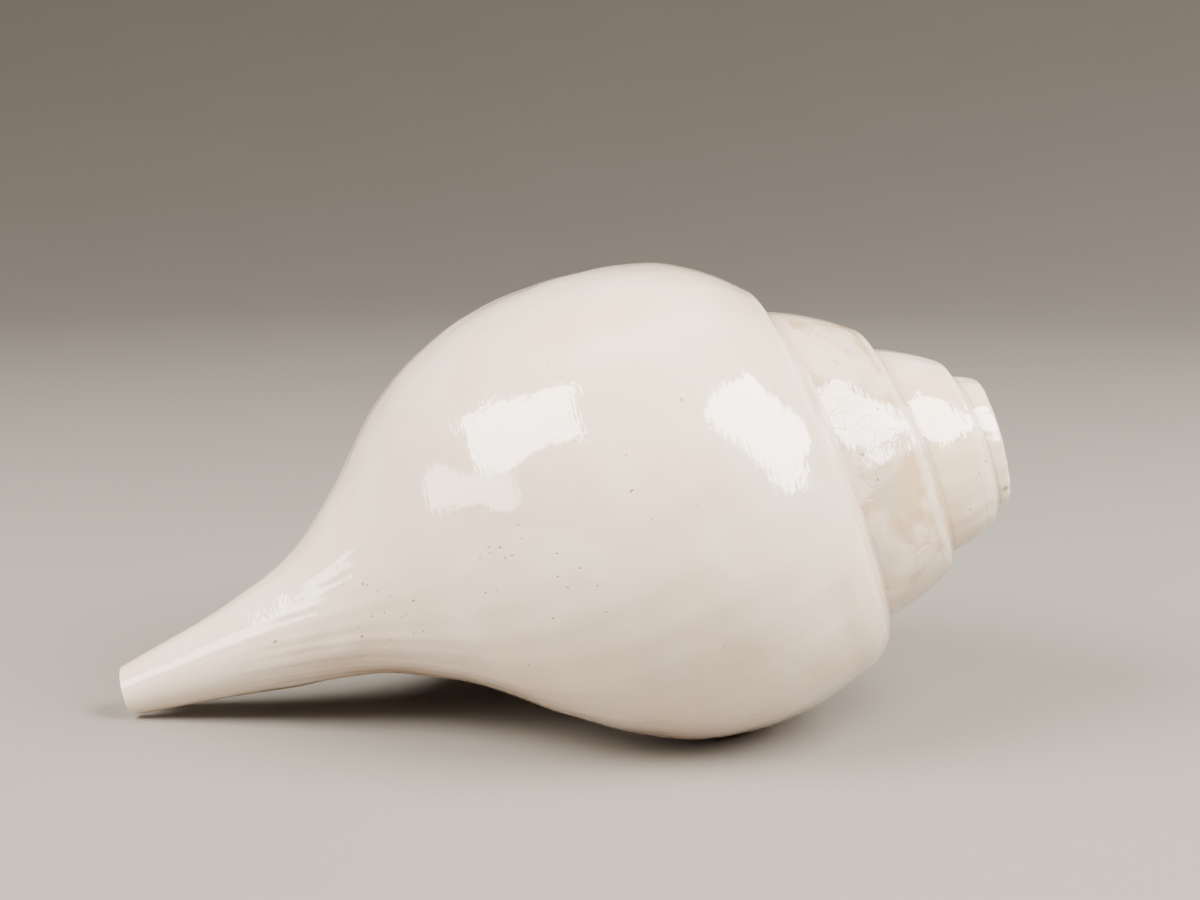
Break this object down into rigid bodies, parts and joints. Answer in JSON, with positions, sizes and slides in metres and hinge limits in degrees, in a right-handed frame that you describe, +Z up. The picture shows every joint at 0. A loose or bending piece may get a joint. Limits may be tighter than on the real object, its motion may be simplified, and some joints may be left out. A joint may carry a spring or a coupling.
{
  "type": "conch shell horn",
  "caption": "Polished white chank shell, apex sawn off as a blow hole, lying aperture down on its body whorl, outer lip and canal tip.",
  "frame": {"origin": "centre of the underside of the object's box, on the surface the shell lies on", "axes": "+Z up, +X along the shell towards the cut apex, +Y away from the picture's camera, towards the outer lip"},
  "size_m": [0.1794, 0.1058, 0.0925],
  "materials": {
    "shell": "polished, glossy"
  },
  "bodies": {
    "root": {"conch_shell": "shell"}
  },
  "joints": []
}
